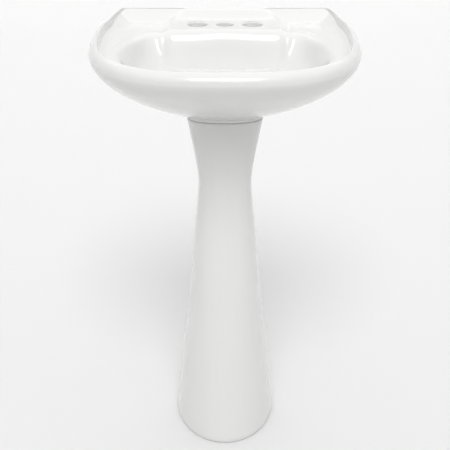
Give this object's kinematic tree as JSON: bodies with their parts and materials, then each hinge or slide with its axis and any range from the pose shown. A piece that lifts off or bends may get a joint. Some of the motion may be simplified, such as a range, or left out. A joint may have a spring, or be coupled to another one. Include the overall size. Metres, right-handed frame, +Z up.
{
  "type": "pedestal sink",
  "caption": "Wall-set glazed china wash basin with faucet deck, soap dishes and bowl on a hollow flared pedestal, with pop-up drain and P-trap.",
  "frame": {"origin": "on the floor below the middle of the basin's plan", "axes": "+X to the right seen from the front, +Y towards the wall, +Z up; the front faces -Y"},
  "size_m": [0.467, 0.422, 0.83],
  "materials": {
    "china": "white glaze, glossy",
    "chrome": "polished chrome plate",
    "brass": "cast and machined",
    "zinc_steel": "zinc plated",
    "rubber": "matt black",
    "white_plastic": "moulded, satin"
  },
  "bodies": {
    "sink": {"basin": "china", "pedestal": "china", "drain_body": "chrome", "flange_gasket": "rubber", "lower_gasket": "rubber", "friction_washer": "white_plastic", "drain_locknut": "brass", "stopper_cartridge": "white_plastic", "stopper_spring": "zinc_steel", "tailpiece": "chrome", "tailpiece_washer": "white_plastic", "tailpiece_nut": "chrome", "trap_bend": "chrome", "union_washer": "white_plastic", "union_nut": "chrome", "trap_arm": "chrome", "wall_flange": "chrome", "hanger_stud_left": "zinc_steel", "hanger_washer_left": "zinc_steel", "hanger_nut_left": "zinc_steel", "floor_screw_left": "zinc_steel", "floor_washer_left": "zinc_steel", "hanger_stud_right": "zinc_steel", "hanger_washer_right": "zinc_steel", "hanger_nut_right": "zinc_steel", "floor_screw_right": "zinc_steel", "floor_washer_right": "zinc_steel"},
    "stopper": {"stopper_cap": "chrome", "stopper_seal": "rubber", "stopper_plunger": "white_plastic"}
  },
  "joints": [
    {"name": "stopper_slide", "type": "slide", "parent": "sink", "child": "stopper", "axis": [0, 0, 1], "range_m": [-0.008, 0], "stiffness_N_per_m": 600, "springref_m": 0.003, "deforming": ["stopper_spring"]}
  ]
}
